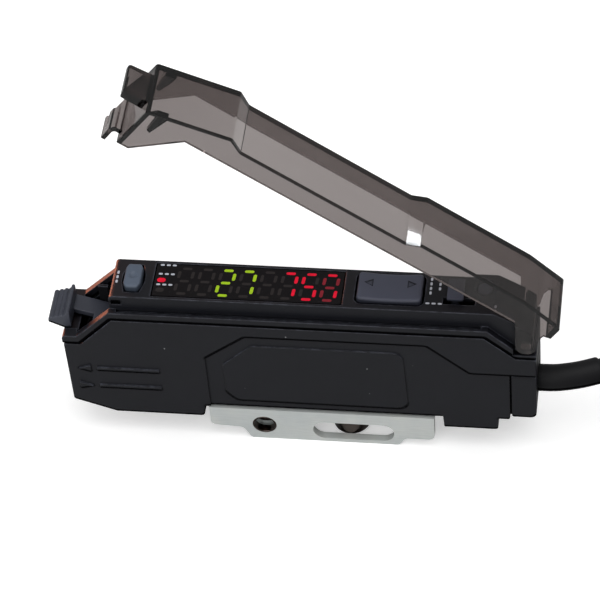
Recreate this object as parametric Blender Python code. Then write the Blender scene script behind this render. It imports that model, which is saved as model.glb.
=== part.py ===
"""Fibre optic sensor amplifier on a zinc rail bracket, with its smoked cover open.

Metres, +Z up. +X points to the cable end, -X to the fibre ports and the lock lever.
The origin is the bottom centre of the amplifier on its bracket.
"""

import math

import bmesh
import bpy
from mathutils import Matrix, Vector

MM = 0.001
GAP = 0.3

# Housing, in millimetres
HALF_WIDTH = 4.9
FRONT_X = -36.9
REAR_X = 35.4
BOTTOM_Z = 4.75
PORT_FACE_BOTTOM_Z = 7.3
WALL = 1.2
INNER_HALF_WIDTH = HALF_WIDTH - WALL
RECESS_DEPTH = 0.3
LABEL_RISE = 0.2

# Rail notch under the housing
NOTCH_LEFT_X = -16.0
NOTCH_RIGHT_X = 21.0
NOTCH_TOP_Z = 7.2
FOOT_RIGHT_X = 29.5

# Upper case
LEDGE_Z = 22.0
LEDGE_INNER_X = -34.75
SHOULDER_Z = 27.75
DECK_Z = 30.5
DECK_HALF_WIDTH = HALF_WIDTH - 1.05
DECK_FRONT_X = -29.0
DECK_REAR_X = 29.2
DECK_THICKNESS = 1.1
PARTING_LINE = [(-40, 20.4), (-34.3, 20.4), (-28.95, 26.25), (27.7, 26.25), (32.4, 21.9), (40, 21.9)]

# Cover and its hinge
HINGE_X, HINGE_Z = 33.9, 24.6
COVER_OPEN = math.radians(37.3)
COVER_INNER_HALF = HALF_WIDTH - 0.75
ARM_RADIUS = 1.55
HINGE_PIN_R = 0.7

# Fibre lock lever
LEVER_X, LEVER_Z = -29.8, 20.0
LEVER_HALF_WIDTH = DECK_HALF_WIDTH - 1.0
LEVER_PIN_R = 0.6
THUMB_FRONT_X, THUMB_REAR_X = -39.2, -35.8
RIB_PITCH = 0.78

# Controls on the deck
WINDOW_X0, WINDOW_X1 = -22.6, 6.4
WINDOW_HALF = DECK_HALF_WIDTH - 0.45
KEY_WIDTH = 2 * (DECK_HALF_WIDTH - 1.0)
SET_X, SET_LENGTH, SET_WIDTH = -25.6, 2.8, KEY_WIDTH - 0.7
ROCKER_X, ROCKER_Y, ROCKER_LENGTH, ROCKER_WIDTH = 13.35, 0.25, 9.9, KEY_WIDTH
SLIDE_X, SLIDE_Y = 23.25, 0.3
RESET_X, RESET_Y, RESET_R = 27.5, 1.5, 1.15
BUTTON_TOP_Z = 31.4
BOARD_Z, BOARD_THICK = 25.3, 0.8

# Fibre ports, and the raised arrows beside them
PORT_Z = (14.0, 10.0)
PORT_R = 1.1
MARK_RISE = 0.25

# Bracket
SHEET = 1.2
BRACKET_X0, BRACKET_X1 = -15.5, 19.6
WEB_TOP_Z = 6.8
HOLE_X = -7.0
POST_X, POST_R = 6.2, 2.6

# Cable
CABLE_D = 3.5
BOOT_D = 4.2
CABLE_Z = 12.2
BOOT_END = (44.7, 2.1)
HANK_X0, HANK_Y = 50.0, -9.7
HANK_RUN = 32.6
HANK_INNER_HALF = 2.5 * CABLE_D
HANK_OUTER_HALF = HANK_INNER_HALF + 3 * CABLE_D
HANK_HEIGHT = 5 * CABLE_D
LEAD_D = 1.1

ROUND = 32

COLOURS = {
    "case": (0.020, 0.020, 0.023, 0.45, 0.0),
    "deck": (0.016, 0.016, 0.018, 0.45, 0.0),
    "smoke": (0.22, 0.19, 0.18, 0.08, 0.0),
    "window": (0.012, 0.010, 0.010, 0.12, 0.0),
    "key": (0.13, 0.16, 0.20, 0.45, 0.0),
    "rocker": (0.060, 0.060, 0.075, 0.50, 0.0),
    "lever": (0.058, 0.062, 0.075, 0.50, 0.0),
    "steel": (0.55, 0.55, 0.55, 0.30, 1.0),
    "zinc": (0.50, 0.52, 0.50, 0.35, 1.0),
    "board": (0.02, 0.13, 0.06, 0.50, 0.0),
    "chip": (0.015, 0.015, 0.015, 0.50, 0.0),
    "led_red": (0.60, 0.02, 0.04, 0.30, 0.0),
    "rubber": (0.012, 0.012, 0.014, 0.60, 0.0),
    "brown": (0.10, 0.04, 0.02, 0.45, 0.0),
    "blue": (0.02, 0.08, 0.30, 0.45, 0.0),
    "black": (0.010, 0.010, 0.010, 0.45, 0.0),
    "white": (0.75, 0.75, 0.73, 0.45, 0.0),
}


def clear_scene():
    for obj in list(bpy.data.objects):
        bpy.data.objects.remove(obj, do_unlink=True)


def new_collection(name):
    collection = bpy.data.collections.new(name)
    bpy.context.scene.collection.children.link(collection)
    return collection


def make_material(name):
    red, green, blue, roughness, metallic = COLOURS[name]
    material = bpy.data.materials.new(name)
    material.use_nodes = True
    shader = material.node_tree.nodes["Principled BSDF"]
    shader.inputs["Base Color"].default_value = (red, green, blue, 1.0)
    shader.inputs["Roughness"].default_value = roughness
    shader.inputs["Metallic"].default_value = metallic
    return material


clear_scene()
PARTS = new_collection("fibre_amplifier")
CUTTERS = new_collection("cutters")
MATERIALS = {name: make_material(name) for name in COLOURS}


def add_mesh(name, mesh):
    obj = bpy.data.objects.new(name, mesh)
    PARTS.objects.link(obj)
    return obj


def finish_part(obj, material, smooth_angle=30):
    """Gives a part its material and smooth shading on its rounded faces."""
    obj.data.materials.clear()
    obj.data.materials.append(MATERIALS[material])
    obj.data.shade_smooth()
    obj.data.set_sharp_from_angle(angle=math.radians(smooth_angle))
    return obj


def hide_tool(tool, target):
    PARTS.objects.unlink(tool)
    CUTTERS.objects.link(tool)
    tool.hide_render = True
    tool.display_type = "WIRE"
    tool.parent = target
    tool.matrix_parent_inverse = target.matrix_world.inverted()


def apply_tool(target, tool, operation):
    modifier = target.modifiers.new(tool.name, "BOOLEAN")
    modifier.operation = operation
    modifier.object = tool
    hide_tool(tool, target)
    return target


def cut(target, *tools):
    for tool in tools:
        apply_tool(target, tool, "DIFFERENCE")
    return target


def join(target, *tools):
    for tool in tools:
        apply_tool(target, tool, "UNION")
    return target


def put_origin(obj, x, y, z):
    """Moves the object's origin to the point, in millimetres. Its shape and the shapes cut from it stay where they are."""
    shift = Vector((x, y, z)) * MM
    for tool in [obj, *obj.children]:
        tool.data.transform(Matrix.Translation(-shift))
    obj.location = shift
    return obj


def rounded(corners, arc_steps=4):
    """Outline points with each (x, z, radius) corner turned into an arc of that radius."""
    points = []
    count = len(corners)
    for index, corner in enumerate(corners):
        here = Vector(corner[:2])
        radius = corner[2] if len(corner) > 2 else 0
        if not radius:
            points.append(tuple(here))
            continue
        before = (Vector(corners[index - 1][:2]) - here).normalized()
        after = (Vector(corners[(index + 1) % count][:2]) - here).normalized()
        half = before.angle(after) / 2
        start = here + before * radius / math.tan(half)
        end = here + after * radius / math.tan(half)
        centre = here + (before + after).normalized() * radius / math.sin(half)
        first, last = start - centre, end - centre
        turn = first.angle_signed(last)
        for step in range(arc_steps + 1):
            angle = -turn * step / arc_steps
            spoke = Vector((first.x * math.cos(angle) - first.y * math.sin(angle),
                            first.x * math.sin(angle) + first.y * math.cos(angle)))
            points.append(tuple(centre + spoke))
    return points


def shifted(path, distance):
    """The open path moved sideways: a positive distance moves a path that runs along +X upwards."""
    normals = []
    for start, end in zip(path, path[1:]):
        along = (Vector(end) - Vector(start)).normalized()
        normals.append(Vector((-along.y, along.x)))
    moved = [Vector(path[0]) + normals[0] * distance]
    for point, left, right in zip(path[1:-1], normals, normals[1:]):
        bisector = (left + right).normalized()
        moved.append(Vector(point) + bisector * distance / bisector.dot(left))
    moved.append(Vector(path[-1]) + normals[-1] * distance)
    return [tuple(point) for point in moved]


def extruded(name, outline, low, high, axis="Y"):
    """A flat outline as a closed solid. Axis Y reads it as (x, z), axis Z as (x, y) and axis X as (y, z)."""
    curve = bpy.data.curves.new(name, "CURVE")
    curve.dimensions = "2D"
    curve.fill_mode = "BOTH"
    curve.extrude = (high - low) / 2 * MM
    spline = curve.splines.new("POLY")
    spline.points.add(len(outline) - 1)
    for point, corner in zip(spline.points, outline):
        point.co = (corner[0] * MM, corner[1] * MM, 0, 1)
    spline.use_cyclic_u = True
    guide = bpy.data.objects.new(name + "_outline", curve)
    PARTS.objects.link(guide)
    middle = (low + high) / 2 * MM
    if axis == "Y":
        placed = Matrix.Translation((0, middle, 0)) @ Matrix.Rotation(math.pi / 2, 4, "X")
    elif axis == "Z":
        placed = Matrix.Translation((0, 0, middle))
    else:
        placed = Matrix.Translation((middle, 0, 0)) @ Matrix(((0, 0, 1, 0), (1, 0, 0, 0), (0, 1, 0, 0), (0, 0, 0, 1)))
    bpy.context.view_layer.update()
    evaluated = guide.evaluated_get(bpy.context.evaluated_depsgraph_get())
    mesh = bpy.data.meshes.new_from_object(evaluated)
    bpy.data.objects.remove(guide, do_unlink=True)
    weld(mesh)
    mesh.transform(placed)
    mesh.name = name
    return add_mesh(name, mesh)


def weld(mesh):
    shape = bmesh.new()
    shape.from_mesh(mesh)
    bmesh.ops.remove_doubles(shape, verts=shape.verts, dist=0.000001)
    bmesh.ops.recalc_face_normals(shape, faces=shape.faces)
    shape.to_mesh(mesh)
    shape.free()


def box(name, x0, x1, y0, y1, z0, z1):
    shape = bmesh.new()
    bmesh.ops.create_cube(shape, size=1)
    size = Matrix.Diagonal(((x1 - x0) * MM, (y1 - y0) * MM, (z1 - z0) * MM, 1))
    centre = Matrix.Translation(Vector(((x0 + x1) / 2, (y0 + y1) / 2, (z0 + z1) / 2)) * MM)
    bmesh.ops.transform(shape, matrix=centre @ size, verts=shape.verts)
    mesh = bpy.data.meshes.new(name)
    shape.to_mesh(mesh)
    shape.free()
    return add_mesh(name, mesh)


def cylinder(name, centre, radius, length, axis="Z", segments=ROUND, top_radius=None):
    shape = bmesh.new()
    bmesh.ops.create_cone(shape, cap_ends=True, segments=segments, radius1=radius * MM,
                          radius2=(top_radius or radius) * MM, depth=length * MM)
    turn = {"X": Matrix.Rotation(math.pi / 2, 4, "Y"), "Y": Matrix.Rotation(-math.pi / 2, 4, "X"),
            "Z": Matrix.Identity(4)}[axis]
    bmesh.ops.transform(shape, matrix=Matrix.Translation(Vector(centre) * MM) @ turn, verts=shape.verts)
    mesh = bpy.data.meshes.new(name)
    shape.to_mesh(mesh)
    shape.free()
    return add_mesh(name, mesh)


def bevel_edges(obj, chosen, width, segments=2):
    """Rounds the edges whose middle, in millimetres, the chosen test picks."""
    shape = bmesh.new()
    shape.from_mesh(obj.data)
    edges = []
    for edge in shape.edges:
        middle = (edge.verts[0].co + edge.verts[1].co) / 2 / MM
        along = (edge.verts[1].co - edge.verts[0].co).normalized()
        if chosen(middle, along):
            edges.append(edge)
    bmesh.ops.bevel(shape, geom=edges, offset=width * MM, segments=segments, profile=0.5,
                    affect="EDGES", clamp_overlap=True)
    shape.to_mesh(obj.data)
    shape.free()
    return obj


def tube(name, points, diameter, radii=None, resolution=2):
    """A round bar along the points, with filled ends."""
    curve = bpy.data.curves.new(name, "CURVE")
    curve.dimensions = "3D"
    curve.bevel_depth = diameter / 2 * MM
    curve.bevel_resolution = resolution
    curve.use_fill_caps = True
    spline = curve.splines.new("POLY")
    spline.points.add(len(points) - 1)
    for index, (point, place) in enumerate(zip(spline.points, points)):
        point.co = (*(Vector(place) * MM), 1)
        point.radius = radii[index] if radii else 1
    obj = bpy.data.objects.new(name, curve)
    PARTS.objects.link(obj)
    curve.materials.append(MATERIALS["rubber"])
    return obj


def smooth_path(knots, steps):
    """Points of a smooth curve through the knots, with that many steps between two knots."""
    knots = [Vector(knot) for knot in knots]
    ends = [2 * knots[0] - knots[1], *knots, 2 * knots[-1] - knots[-2]]
    points = []
    for before, start, end, after in zip(ends, ends[1:], ends[2:], ends[3:]):
        for step in range(steps):
            t = step / steps
            points.append(0.5 * (2 * start + (end - before) * t
                                 + (2 * before - 5 * start + 4 * end - after) * t ** 2
                                 + (3 * start - before - 3 * end + after) * t ** 3))
    points.append(knots[-1])
    return points


def above(path, distance, top=60):
    """The region above the path, once it is moved sideways by the distance."""
    line = shifted(path, distance)
    return line + [(line[-1][0], top), (line[0][0], top)]


def below(path, distance, bottom=-20):
    line = shifted(path, distance)
    return line + [(line[-1][0], bottom), (line[0][0], bottom)]


def side_edges(low_z, high_z):
    """Picks the long edges of a side face between two heights."""
    def chosen(middle, along):
        return abs(middle.y) > HALF_WIDTH - 0.01 and abs(along.y) < 0.1 and low_z < middle.z < high_z
    return chosen


# Lower case: the hollow main shell with the rail notch and the two fibre port holes
def make_case_lower():
    outline = rounded([
        (FRONT_X + 0.15, PORT_FACE_BOTTOM_Z, 0.5), (-30.2, BOTTOM_Z, 0.6),
        (NOTCH_LEFT_X - 0.3, BOTTOM_Z, 0.6), (NOTCH_LEFT_X, NOTCH_TOP_Z, 0.3),
        (NOTCH_RIGHT_X, NOTCH_TOP_Z), (NOTCH_RIGHT_X + 0.15, BOTTOM_Z), (FOOT_RIGHT_X, BOTTOM_Z, 0.5),
        (FOOT_RIGHT_X, 7.3), (31.35, 7.3, 0.4), (31.35, 17.85), (REAR_X, 17.85), (REAR_X, 30), (FRONT_X, 30),
    ], 3)
    case = extruded("case_lower", outline, -HALF_WIDTH, HALF_WIDTH)
    bevel_edges(case, side_edges(0, 29), 0.25, 1)
    cavity = [(-35.4, 8.2), (-30.0, 6.2), (-17.4, 6.2), (-17.2, 8.5), (22.3, 8.5), (22.5, 7.4), (28.2, 7.4),
              (28.2, 8.8), (30.1, 8.8), (30.1, 19.2), (34.2, 19.2), (34.2, 40), (-35.4, 40)]
    recess = rounded([(-15.15, 0), (-15.15, 18.4, 0.5), (-8.7, 23.7, 0.8), (18.9, 23.7, 0.8), (25.3, 17.85, 0.8),
                      (40, 17.85), (40, 0)], 3)
    label = rounded([(-12.5, 10.6, 1.6), (-12.5, 17.0, 0.8), (-7.9, 21.6, 1.0), (15.3, 21.6, 1.6), (15.8, 8.6, 1.6),
                     (-10.9, 8.7, 1.6)], 4)
    cut(case,
        extruded("above_parting", above(PARTING_LINE, -GAP / 2), -9, 9),
        extruded("case_cavity", cavity, -INNER_HALF_WIDTH, INNER_HALF_WIDTH),
        extruded("recess_near", recess, -9, RECESS_DEPTH - HALF_WIDTH),
        extruded("recess_far", recess, HALF_WIDTH - RECESS_DEPTH, 9))
    for z in PORT_Z:
        cut(case, cylinder("port_hole", (FRONT_X, 0, z), PORT_R + 0.55, 6, "X", 24))
    cut(case,
        box("hook_slot", 20, 33, -1.8, 1.8, 3, 6.85),
        cylinder("lever_pin_seat", (LEVER_X, 0, LEVER_Z), LEVER_PIN_R + 0.05, 2 * HALF_WIDTH - 1.0, "Y", 20))
    recess_y = RECESS_DEPTH - HALF_WIDTH
    join(case,
         extruded("label_pad", label, recess_y - LABEL_RISE, recess_y + 0.4),
         box("fixed_hook", NOTCH_LEFT_X - 0.6, NOTCH_LEFT_X + 1.3, -3, 3, BOTTOM_Z, BOTTOM_Z + 0.5))
    out_head = [(-35.25, -0.05), (-33.15, -0.75), (-33.2, 0.8)]
    in_head = [(-33.1, -0.1), (-35.3, 0.75), (-35.3, -0.75)]
    for z, head in zip(PORT_Z, (out_head, in_head)):
        join(case, *raised_arrow(z + 0.85, head))
    return finish_part(case, "case")


def raised_arrow(middle, head):
    """A long bar and an arrow head that stand out of the near side beside a fibre port."""
    bar = [(-32.2, -0.36), (-22.5, -0.36), (-22.5, 0.36), (-32.2, 0.36)]
    return [extruded(name, [(x, z + middle) for x, z in outline], -HALF_WIDTH - MARK_RISE, 0.4 - HALF_WIDTH)
            for name, outline in (("arrow_bar", bar), ("arrow_head", head))]


# Upper case: deck, shoulders, the two sloping cheeks round the lever, and the hinge block
def make_case_upper():
    outline = rounded([
        (FRONT_X - 0.1, 18), (FRONT_X - 0.1, LEDGE_Z, 0.5), (LEDGE_INNER_X, LEDGE_Z), (-29.2, SHOULDER_Z),
        (28.15, SHOULDER_Z), (32.0, 24.0), (32.0, 22.7), (REAR_X, 22.7), (REAR_X, 18),
    ], 3)
    case = extruded("case_upper", outline, -HALF_WIDTH, HALF_WIDTH)
    bevel_edges(case, side_edges(19, 40), 0.2, 1)
    ridge = rounded([(DECK_FRONT_X, 23.5), (DECK_FRONT_X, DECK_Z, 0.7), (DECK_REAR_X, DECK_Z, 0.7), (33.2, 28.0, 0.8),
                     (34.9, 26.6, 0.8), (34.9, 21.0), (31, 21.0)], 3)
    deck = extruded("deck_ridge", ridge, -DECK_HALF_WIDTH, DECK_HALF_WIDTH)
    bevel_edges(deck, lambda middle, along: abs(middle.y) > DECK_HALF_WIDTH - 0.01 and abs(along.y) < 0.1, 0.15, 1)
    join(case, deck)
    under = [(-28.1, 10), (-28.1, 26.8), (27.4, 26.8), (27.4, 10)]
    upper_room = [(-28.3, 20), (-28.3, DECK_Z - DECK_THICKNESS), (29.4, DECK_Z - DECK_THICKNESS), (31.6, 25.8),
                  (31.6, 20)]
    nose = [(-34.75, 10), (-34.75, 40), (DECK_FRONT_X, 40), (DECK_FRONT_X, 26.5), (-27.5, 26.5), (-27.5, 10)]
    cut(case,
        extruded("below_parting", below(PARTING_LINE, GAP / 2), -9, 9),
        extruded("under_shoulders", under, -INNER_HALF_WIDTH, INNER_HALF_WIDTH),
        extruded("ridge_room", upper_room, 0.95 - DECK_HALF_WIDTH, DECK_HALF_WIDTH - 0.95),
        extruded("nose_opening", nose, -DECK_HALF_WIDTH, DECK_HALF_WIDTH),
        box("thumb_rest", -40, -34, -LEVER_HALF_WIDTH - GAP, LEVER_HALF_WIDTH + GAP, 21.35, 30),
        box("window_opening", WINDOW_X0, WINDOW_X1, -WINDOW_HALF, WINDOW_HALF, 28.9, 40),
        eight_sided("set_opening", SET_X, SET_LENGTH + 2 * GAP, SET_WIDTH + 2 * GAP, 28, 40),
        slot_block("rocker_opening", ROCKER_X, ROCKER_Y, ROCKER_LENGTH + 0.6, ROCKER_WIDTH + 0.6, 28, 40, 1.1),
        box("slide_slot", 21.4, 26.2, -2.2, -0.9, 28, 40),
        cylinder("reset_opening", (RESET_X, RESET_Y, 32), RESET_R + 0.25, 9, "Z", 24))
    for side in (-1, 1):
        inner, outer = sorted((side * (DECK_HALF_WIDTH + 0.02), side * (DECK_HALF_WIDTH + 0.62)))
        cut(case, box("foot_groove", DECK_FRONT_X + 1, 27.2, inner, outer, SHOULDER_Z - 0.5, 29.5))
        inner, outer = sorted((side * (DECK_HALF_WIDTH - 0.7), side * 9))
        cut(case, box("snap_slot", -28.7, -27.2, inner, outer, 28.75, 29.45))
    cut(case, cylinder("hinge_bore", (HINGE_X, 0, HINGE_Z), HINGE_PIN_R + 0.05, 20, "Y", 20))
    return finish_part(case, "case")


def slot_block(name, x, y, length, width, low, high, radius):
    """A block with rounded upright corners, centred on x and y."""
    corners = [(x - length / 2, y - width / 2, radius), (x + length / 2, y - width / 2, radius),
               (x + length / 2, y + width / 2, radius), (x - length / 2, y + width / 2, radius)]
    return extruded(name, rounded(corners, 5), low, high, "Z")


def eight_sided(name, x, length, width, low, high):
    """A block that narrows towards both its ends across the deck, centred on x."""
    half, end = length / 2, width / 2
    quarter = [(half, 0.26 * end), (0.68 * half, end)]
    right = [(px, -py) for px, py in reversed(quarter)] + quarter
    outline = [(x + px, py) for px, py in right] + [(x - px, -py) for px, py in right]
    return extruded(name, outline, low, high, "Z")


# Rear cap: closes the cable end, with the round outlet for the boot
def make_rear_cap():
    half = HALF_WIDTH - RECESS_DEPTH
    outline = rounded([(31.65, 8.0, 0.3), (REAR_X, 8.0, 0.9), (REAR_X, 17.55), (31.65, 17.55)], 4)
    cap = extruded("rear_cap", outline, -half, half)
    bevel_edges(cap, lambda middle, along: abs(middle.y) > half - 0.01 and abs(along.y) < 0.1, 0.2, 1)
    cut(cap,
        cylinder("boot_outlet", (REAR_X, 0, CABLE_Z), BOOT_D / 2 + 0.3, 12, "X", 24),
        cylinder("boot_seat", (32.4, 0, CABLE_Z), 3.3, 2.4, "X", 24))
    return finish_part(cap, "case")


# Smoked cover: drawn closed, then turned open about its hinge
def make_cover():
    outer = rounded([
        (-36.2, 21.65), (-36.0, 29.7, 0.5), (-23.75, 32.8, 0.6), (-21.4, 31.35, 0.6), (7.1, 31.35, 0.6),
        (9.2, 32.5, 0.8), (28.0, 32.5, 4.0), (35.25, 31.4, 0.6), (35.45, 28.67), (34.1, 28.28),
        (34.0, 28.05), (-28.7, 28.05), (-34.3, 21.65),
    ], 4)
    cover = extruded("cover", outer, -HALF_WIDTH, HALF_WIDTH)
    bevel_edges(cover, side_edges(28.6, 40), 0.5, 2)
    inner = [
        (-35.45, 15), (-35.25, 29.05), (-23.6, 32.1), (-21.25, 30.8), (7.3, 30.8), (9.35, 31.9), (27.9, 31.9),
        (34.55, 30.75), (34.7, 28.2), (40, 28.2), (40, 15),
    ]
    cavity = extruded("cover_cavity", inner, -COVER_INNER_HALF, COVER_INNER_HALF)
    lip = rounded([(-35.8, 22.25), (-37.0, 22.25, 0.3), (-37.3, 21.9, 0.3), (-37.3, 19.8), (-37.95, 19.8),
                   (-38.05, 22.2, 0.6), (-37.6, 23.0, 0.4), (-35.8, 23.1)], 3)
    tab = rounded([(-35.6, 29.45), (-39.9, 29.0, 0.4), (-39.7, 27.7, 0.3), (-35.6, 27.65)], 3)
    join(cover, *(cover_arm(side) for side in (-1, 1)))
    cut(cover, cavity)
    join(cover,
         extruded("front_lip", lip, 0.15 - DECK_HALF_WIDTH, DECK_HALF_WIDTH + 0.05),
         extruded("finger_tab", tab, 0.15 - LEVER_HALF_WIDTH, LEVER_HALF_WIDTH - 0.15))
    for side in (-1, 1):
        low, high = sorted((side * (COVER_INNER_HALF - 0.7), side * (COVER_INNER_HALF + 0.3)))
        join(cover, extruded("snap_rib", [(-34.3, 29.9), (-34.0, 26.2), (-33.4, 26.0), (-32.6, 30.3)], low, high))
    corner = extruded("lip_corner", [(-39, 0.3), (-37.8, 0.3), (-36.9, 2.4), (-36.3, 5), (-39, 5)], 19, 23.6, "Z")
    cut(cover, corner,
        box("latch_slot", -38.6, -36.9, -1.9, 2.5, 20.4, 21.25),
        cylinder("cover_pin_seat", (HINGE_X, 0, HINGE_Z), HINGE_PIN_R + 0.05, 2 * HALF_WIDTH - 0.8, "Y", 20))
    finish_part(cover, "smoke")
    hinge = Vector((HINGE_X, 0, HINGE_Z)) * MM
    for tool in [cover, *(child for child in cover.children)]:
        tool.data.transform(Matrix.Translation(-hinge))
    cover.location = hinge
    cover.rotation_euler = (0, COVER_OPEN, 0)
    return cover


def cover_arm(side):
    """The hinge arm of one side wall: a straight bar that ends in a round eye about the hinge."""
    along = Vector((-math.sin(COVER_OPEN), math.cos(COVER_OPEN)))
    across = Vector((math.cos(COVER_OPEN), math.sin(COVER_OPEN)))
    eye = Vector((HINGE_X, HINGE_Z))
    points = []
    for step in range(13):
        angle = math.pi * step / 12
        points.append(tuple(eye + ARM_RADIUS * (-across * math.cos(angle) - along * math.sin(angle))))
    points += [(34.35, 27.2), (34.3, 30.2), (29.5, 30.2), (28.9, 28.6)]
    low, high = sorted((side * (COVER_INNER_HALF - 0.5), side * (HALF_WIDTH - 0.02)))
    return extruded("cover_arm", points, low, high)


def make_hinge_pin():
    pin = cylinder("hinge_pin", (HINGE_X, 0, HINGE_Z), HINGE_PIN_R, 2 * HALF_WIDTH - 1.1, "Y", 20)
    return finish_part(pin, "steel")


# Fibre lock lever: ribbed thumb block, narrow neck and a hub on a steel pin
def make_lever():
    ribs = []
    slope = (24.75 - 23.7) / (THUMB_REAR_X - THUMB_FRONT_X)
    steps = 26
    for step in range(steps + 1):
        along = step / steps * (THUMB_REAR_X - THUMB_FRONT_X - 0.55)
        swell = 0.28 * abs(math.sin(math.pi * along / RIB_PITCH))
        ribs.append((THUMB_FRONT_X + along, 23.5 + slope * along + swell))
    thumb = [(THUMB_FRONT_X, 22.9), *ribs, (THUMB_REAR_X - 0.5, 25.2), (THUMB_REAR_X - 0.2, 25.35),
             (THUMB_REAR_X, 25.2), (THUMB_REAR_X, 21.95), (-36.3, 21.65), (-36.9, 21.7)]
    lever = extruded("lock_lever", thumb, -LEVER_HALF_WIDTH, LEVER_HALF_WIDTH)
    neck = [(-36.2, 22.0), (-36.2, 23.2), (-31.4, 21.7), (-30.0, 21.2), (-29.6, 19.6), (-31.4, 20.5)]
    plate = [(-32.7, 20.95), (-32.7, 22.1), (-31.4, 21.7), (-30.0, 21.2), (-29.6, 19.6), (-31.4, 20.5)]
    join(lever,
         extruded("neck", neck, -0.1, LEVER_HALF_WIDTH),
         extruded("hub_plate", plate, -LEVER_HALF_WIDTH, LEVER_HALF_WIDTH),
         cylinder("hub", (LEVER_X, 0, LEVER_Z), 1.4, 2 * LEVER_HALF_WIDTH, "Y", 24))
    cut(lever, cylinder("hub_bore", (LEVER_X, 0, LEVER_Z), LEVER_PIN_R + 0.05, 12, "Y", 20))
    finish_part(lever, "lever")
    hub = Vector((LEVER_X, 0, LEVER_Z)) * MM
    for tool in [lever, *lever.children]:
        tool.data.transform(Matrix.Translation(-hub))
    lever.location = hub
    return lever


def make_lever_pin():
    pin = cylinder("lever_pin", (LEVER_X, 0, LEVER_Z), LEVER_PIN_R, 2 * HALF_WIDTH - 1.4, "Y", 20)
    return finish_part(pin, "steel")


# Optics behind the front face
def make_optics():
    half = INNER_HALF_WIDTH - 0.4
    seat = box("fibre_seat", -34.6, -24.4, -half, half, 8.4, 17.6)
    join(seat, box("seat_lug", -32.3, -30.75, half - 0.25, half + 0.25, 16.5, 24.9))
    for z in PORT_Z:
        cut(seat, cylinder("fibre_bore", (-30, 0, z), PORT_R, 20, "X", 20))
    finish_part(seat, "chip")
    for name, z in (("transmit", PORT_Z[0]), ("receive", PORT_Z[1])):
        bush = cylinder(name + "_bush", (-36.0, 0, z), PORT_R + 0.3, 1.9, "X", 24)
        cut(bush, cylinder("bush_bore", (-36, 0, z), PORT_R, 5, "X", 20))
        finish_part(bush, "rubber")
        unit = cylinder(name + "_unit", (-22.6, 0, z), 1.7, 3.0, "X", 24)
        join(unit, cylinder("lens_nose", (-24.0, 0, z), 0.8, 0.4, "X", 20))
        finish_part(unit, "steel")
    clamp = box("fibre_clamp", -28.0, -25.0, 0.5 - half, half - 0.5, 17.9, 22.2)
    bevel_edges(clamp, lambda middle, along: middle.z > 22 or middle.x < -27.9, 0.4, 2)
    finish_part(clamp, "lever")


# Deck controls and display
def make_controls():
    window = slot_block("display_window", (WINDOW_X0 + WINDOW_X1) / 2, 0, WINDOW_X1 - WINDOW_X0 - 0.4,
                        2 * WINDOW_HALF - 0.4, 29.2, DECK_Z, 0.2)
    finish_part(window, "window")
    set_key = eight_sided("set_button", SET_X, SET_LENGTH, SET_WIDTH, 27.9, BUTTON_TOP_Z)
    bevel_edges(set_key, lambda middle, along: middle.z > BUTTON_TOP_Z - 0.01, 0.35, 3)
    cut(set_key, cylinder("set_dimple", (SET_X, 0, BUTTON_TOP_Z + 0.1), 0.6, 0.5, "Z", 32, 1.1))
    finish_part(set_key, "key")
    put_origin(set_key, SET_X, 0, DECK_Z)
    make_rocker()
    cap = slot_block("slide_knob", SLIDE_X, SLIDE_Y, 2.5, 4.6, DECK_Z + 0.3, BUTTON_TOP_Z, 0.3)
    join(cap, box("slide_stem", SLIDE_X - 0.6, SLIDE_X + 0.6, -1.9, -1.2, 28.2, DECK_Z + 0.6))
    finish_part(cap, "rocker")
    put_origin(cap, SLIDE_X, 0, DECK_Z)
    reset = cylinder("reset_button", (RESET_X, RESET_Y, 29.4), RESET_R, 2.8, "Z", 24)
    bevel_edges(reset, lambda middle, along: middle.z > 30.79, 0.25, 2)
    finish_part(reset, "rocker")
    put_origin(reset, RESET_X, RESET_Y, DECK_Z)


def make_rocker():
    """A seesaw button, its top dished a little and its ends rounded."""
    half = ROCKER_LENGTH / 2
    top = []
    steps = 8
    for step in range(steps + 1):
        along = -half + 0.55 + (ROCKER_LENGTH - 1.1) * step / steps
        top.append((ROCKER_X + along, BUTTON_TOP_Z - 0.3 * (1 - (along / half) ** 2)))
    outline = [(ROCKER_X - half - 1, 29.2), (ROCKER_X - half - 1, BUTTON_TOP_Z), *top,
               (ROCKER_X + half + 1, BUTTON_TOP_Z), (ROCKER_X + half + 1, 29.2),
               (ROCKER_X + 1.2, 28.6), (ROCKER_X - 1.2, 28.6)]
    rocker = slot_block("rocker_button", ROCKER_X, ROCKER_Y, ROCKER_LENGTH, ROCKER_WIDTH, 28, BUTTON_TOP_Z + 0.05, 1.0)
    bevel_edges(rocker, lambda middle, along: middle.z > BUTTON_TOP_Z, 0.45, 3)
    apply_tool(rocker, extruded("seesaw", outline, -9, 9), "INTERSECT")
    for side in (-1, 1):
        tip, foot = ROCKER_X + side * 3.8, ROCKER_X + side * 2.55
        triangle = [(tip, 0.75), (foot, 0.75 + side * 0.75), (foot, 0.75 - side * 0.75)]
        cut(rocker, extruded("arrow_mark", triangle, BUTTON_TOP_Z - 0.45, 40, "Z"))
    finish_part(rocker, "rocker")
    put_origin(rocker, ROCKER_X, ROCKER_Y, 29.6)


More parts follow.
